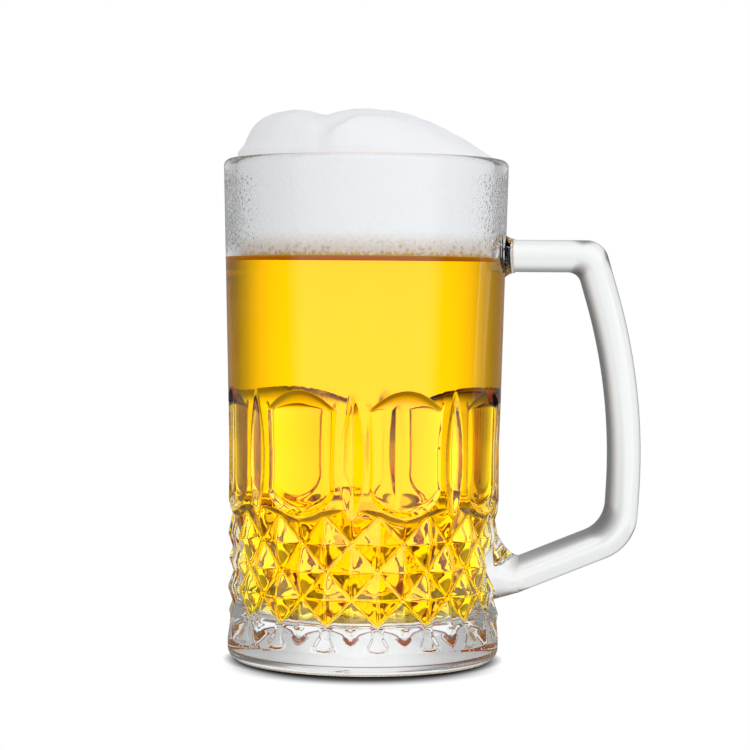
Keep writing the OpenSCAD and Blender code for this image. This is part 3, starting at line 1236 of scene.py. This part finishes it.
    def sky(self) -> None:
        """Lights the world: white for the camera, the backdrop for glass, an even fill for matt surfaces."""
        world = bpy.data.worlds.new("studio")
        bpy.context.scene.world = world
        world.use_nodes = True
        world.node_tree.nodes.clear()
        add = partial(add_node, world.node_tree)
        place = add("TexCoord").outputs["Generated"]
        screen = self.backdrop(add, place, self.inner_light)
        path = add("LightPath").outputs
        unscattered = add("Math", {0: path["Diffuse Depth"], 1: ONCE}, operation="LESS_THAN")
        clear = add("Math", {0: unscattered, 1: path["Is Glossy Ray"]}, operation="MULTIPLY")
        seen = add("Mix", {"Factor": clear, "A": self.fill, "B": screen})
        white = add("Mix", {"Factor": path["Is Camera Ray"], "A": seen, "B": 1.0})
        add("OutputWorld", {"Surface": add("Background", {"Color": white})})

    def table(self) -> None:
        """Lays a white table with a painted contact shadow: a glow, white for the camera but darkened in a
        disc set forward of the mug and by ambient occlusion at the touch.
        """
        bpy.ops.object.select_all(action="DESELECT")
        bpy.ops.mesh.primitive_plane_add(size=self.table_size)
        floor = bpy.context.object
        floor.name = "table"
        material, add = new_material("white_table")
        place = add("TexCoord").outputs["Object"]
        path = add("LightPath").outputs
        heading, middle = (
            add("VectorMath", {0: place, 1: tuple(lead * MM * d for d in self.behind)}, operation="ADD")
            for lead in (self.table_lead, self.shadow_shift)
        )
        bright = self.backdrop(add, heading.outputs[0], self.inner_table)
        pale = add("Math", {0: bright, 1: self.table_gain}, operation="MULTIPLY")
        away = add("VectorMath", {0: middle}, operation="LENGTH").outputs["Value"]
        # Painted shadow: the camera sees the table's glow darkened in a disc set forward of the mug and by
        # ambient occlusion where the mug touches.
        ring = {"Value": away, "From Min": self.shadow_core * MM, "From Max": self.shadow_edge * MM}
        painted_shadow = add("MapRange", {**ring, "To Min": self.shadow_dark}, **SMOOTH)
        painted_contact_shade = add("AmbientOcclusion", {"Distance": self.contact * MM}, samples=8)
        dark = add("Math", {0: painted_shadow, 1: painted_contact_shade.outputs["AO"]}, operation="MULTIPLY")
        lit = add("Mix", {"Factor": path["Is Camera Ray"], "A": pale, "B": dark})
        glow = add("Emission", {"Strength": lit})
        mix = add("MixShader", {0: path["Diffuse Depth"], 1: glow, 2: add("BsdfDiffuse")})
        add("OutputMaterial", {"Surface": mix})
        floor.data.materials.append(material)

    def lamp(self) -> None:
        """Stands a soft lamp at the front, to the right, for the froth; the glass doesn't mirror it."""
        lamp = bpy.data.lights.new("soft_lamp", "AREA")
        lamp.shape = "DISK"
        lamp.size = self.lamp_size
        lamp.energy = self.lamp_watts
        stand = bpy.data.objects.new("soft_lamp", lamp)
        stand.location = self.lamp_at
        aim = Vector(self.lamp_aim) - stand.location
        stand.rotation_euler = aim.to_track_quat("-Z", "Y").to_euler()
        stand.visible_glossy = False
        stand.visible_transmission = False
        bpy.context.collection.objects.link(stand)

    def camera(self) -> None:
        """Sets the camera where the photograph was taken from."""
        view = bpy.data.cameras.new("camera")
        view.lens = self.lens
        view.sensor_width = self.sensor
        view.shift_x, view.shift_y = self.shift
        eye = bpy.data.objects.new("camera", view)
        turn = math.radians(self.turn)
        spot = Vector((math.sin(turn) * self.distance, -math.cos(turn) * self.distance, self.eye_z)) * MM
        aim = (Matrix.Rotation(turn, 4, "Z") @ Matrix.Rotation(math.radians(90), 4, "X")
               @ Matrix.Rotation(math.radians(self.roll), 4, "Z"))
        eye.matrix_world = Matrix.Translation(spot) @ aim
        bpy.context.collection.objects.link(eye)
        bpy.context.scene.camera = eye

    def build(self) -> None:
        """Sets up the whole studio."""
        scene = bpy.context.scene
        scene.view_settings.view_transform = "Standard"
        scene.cycles.max_bounces = 24
        scene.cycles.transmission_bounces = 24
        scene.cycles.glossy_bounces = 12
        scene.cycles.transparent_max_bounces = 24
        self.sky()
        self.table()
        self.lamp()
        self.camera()


def main() -> None:
    """Builds the mug piece by piece in the frame."""
    logging.basicConfig(level=logging.INFO, format="%(name)s: %(message)s")
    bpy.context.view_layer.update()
    body_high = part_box("mug_body")[1]
    handle_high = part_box("handle")[1]
    line_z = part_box("beer")[1].z / MM
    crest_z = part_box("foam_head")[1].z / MM
    barrel = Barrel(height=round(body_high.z / MM, 2), rim_r=round(body_high.y / MM, 1))
    log.info("barrel %.2f high, rim radius %.2f", barrel.height, barrel.rim_r)
    Studio().build()
    handle = Handle(barrel, reach=round(2 * handle_high.x / MM) / 2, top_z=round(handle_high.z / MM, 2))
    GlassBody(barrel, line_z).build(handle.pads(), handle.welds)
    handle.build()
    drink = Drink(barrel, line_z, crest_z)
    drink.lager()
    drink.froth()


if __name__ == "__main__":
    main()
